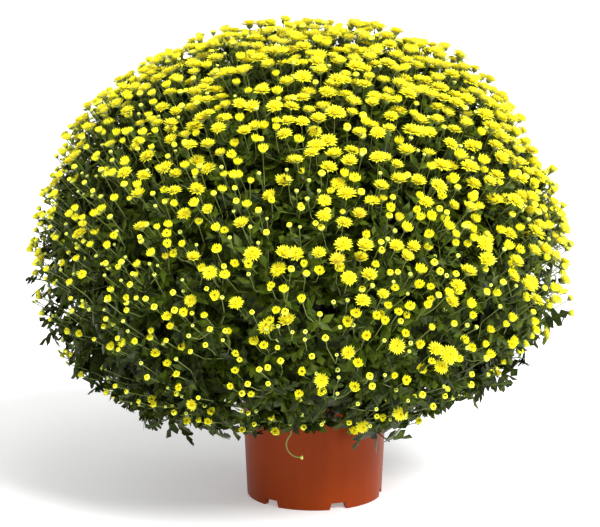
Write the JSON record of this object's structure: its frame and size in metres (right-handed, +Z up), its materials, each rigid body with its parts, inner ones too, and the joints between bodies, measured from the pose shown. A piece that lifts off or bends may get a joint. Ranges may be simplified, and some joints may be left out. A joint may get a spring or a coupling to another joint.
{
  "type": "potted chrysanthemum",
  "caption": "Cushion chrysanthemum in a round plastic pot: a dense ball of leafy stems covered with small double flower heads, standing in compost.",
  "frame": {"origin": "on the floor at the centre of the flat foot under the pot", "axes": "+Z up, along the pot's axis; -Y is the front; +X is to the right when seen from the front"},
  "size_m": [0.7047, 0.7081, 0.6214],
  "materials": {
    "pot": "terracotta-coloured moulded plastic with a soft sheen",
    "compost": "moist dark crumbly potting compost",
    "leaf": "dark green, matt, finely veined leaves on paler green stems",
    "petal": "bright yellow, matt, finely ribbed petals"
  },
  "bodies": {
    "root": {"pot": "pot", "compost": "compost", "leafy_stem_01": "leaf", "flower_spray_01": "petal", "leafy_stem_02": "leaf", "flower_spray_02": "petal", "leafy_stem_03": "leaf", "flower_spray_03": "petal", "leafy_stem_04": "leaf", "flower_spray_04": "petal", "leafy_stem_05": "leaf", "flower_spray_05": "petal", "leafy_stem_06": "leaf", "flower_spray_06": "petal", "leafy_stem_07": "leaf", "flower_spray_07": "petal", "leafy_stem_08": "leaf", "flower_spray_08": "petal", "leafy_stem_09": "leaf", "flower_spray_09": "petal", "leafy_stem_10": "leaf", "flower_spray_10": "petal", "leafy_stem_11": "leaf", "flower_spray_11": "petal", "leafy_stem_12": "leaf", "flower_spray_12": "petal", "leafy_stem_13": "leaf", "flower_spray_13": "petal", "leafy_stem_14": "leaf", "flower_spray_14": "petal", "leafy_stem_15": "leaf", "flower_spray_15": "petal", "leafy_stem_16": "leaf", "flower_spray_16": "petal", "leafy_stem_17": "leaf", "flower_spray_17": "petal", "leafy_stem_18": "leaf", "flower_spray_18": "petal", "leafy_stem_19": "leaf", "flower_spray_19": "petal", "leafy_stem_20": "leaf", "flower_spray_20": "petal", "leafy_stem_21": "leaf", "flower_spray_21": "petal", "leafy_stem_22": "leaf", "flower_spray_22": "petal", "leafy_stem_23": "leaf", "flower_spray_23": "petal", "leafy_stem_24": "leaf", "flower_spray_24": "petal"}
  },
  "joints": []
}
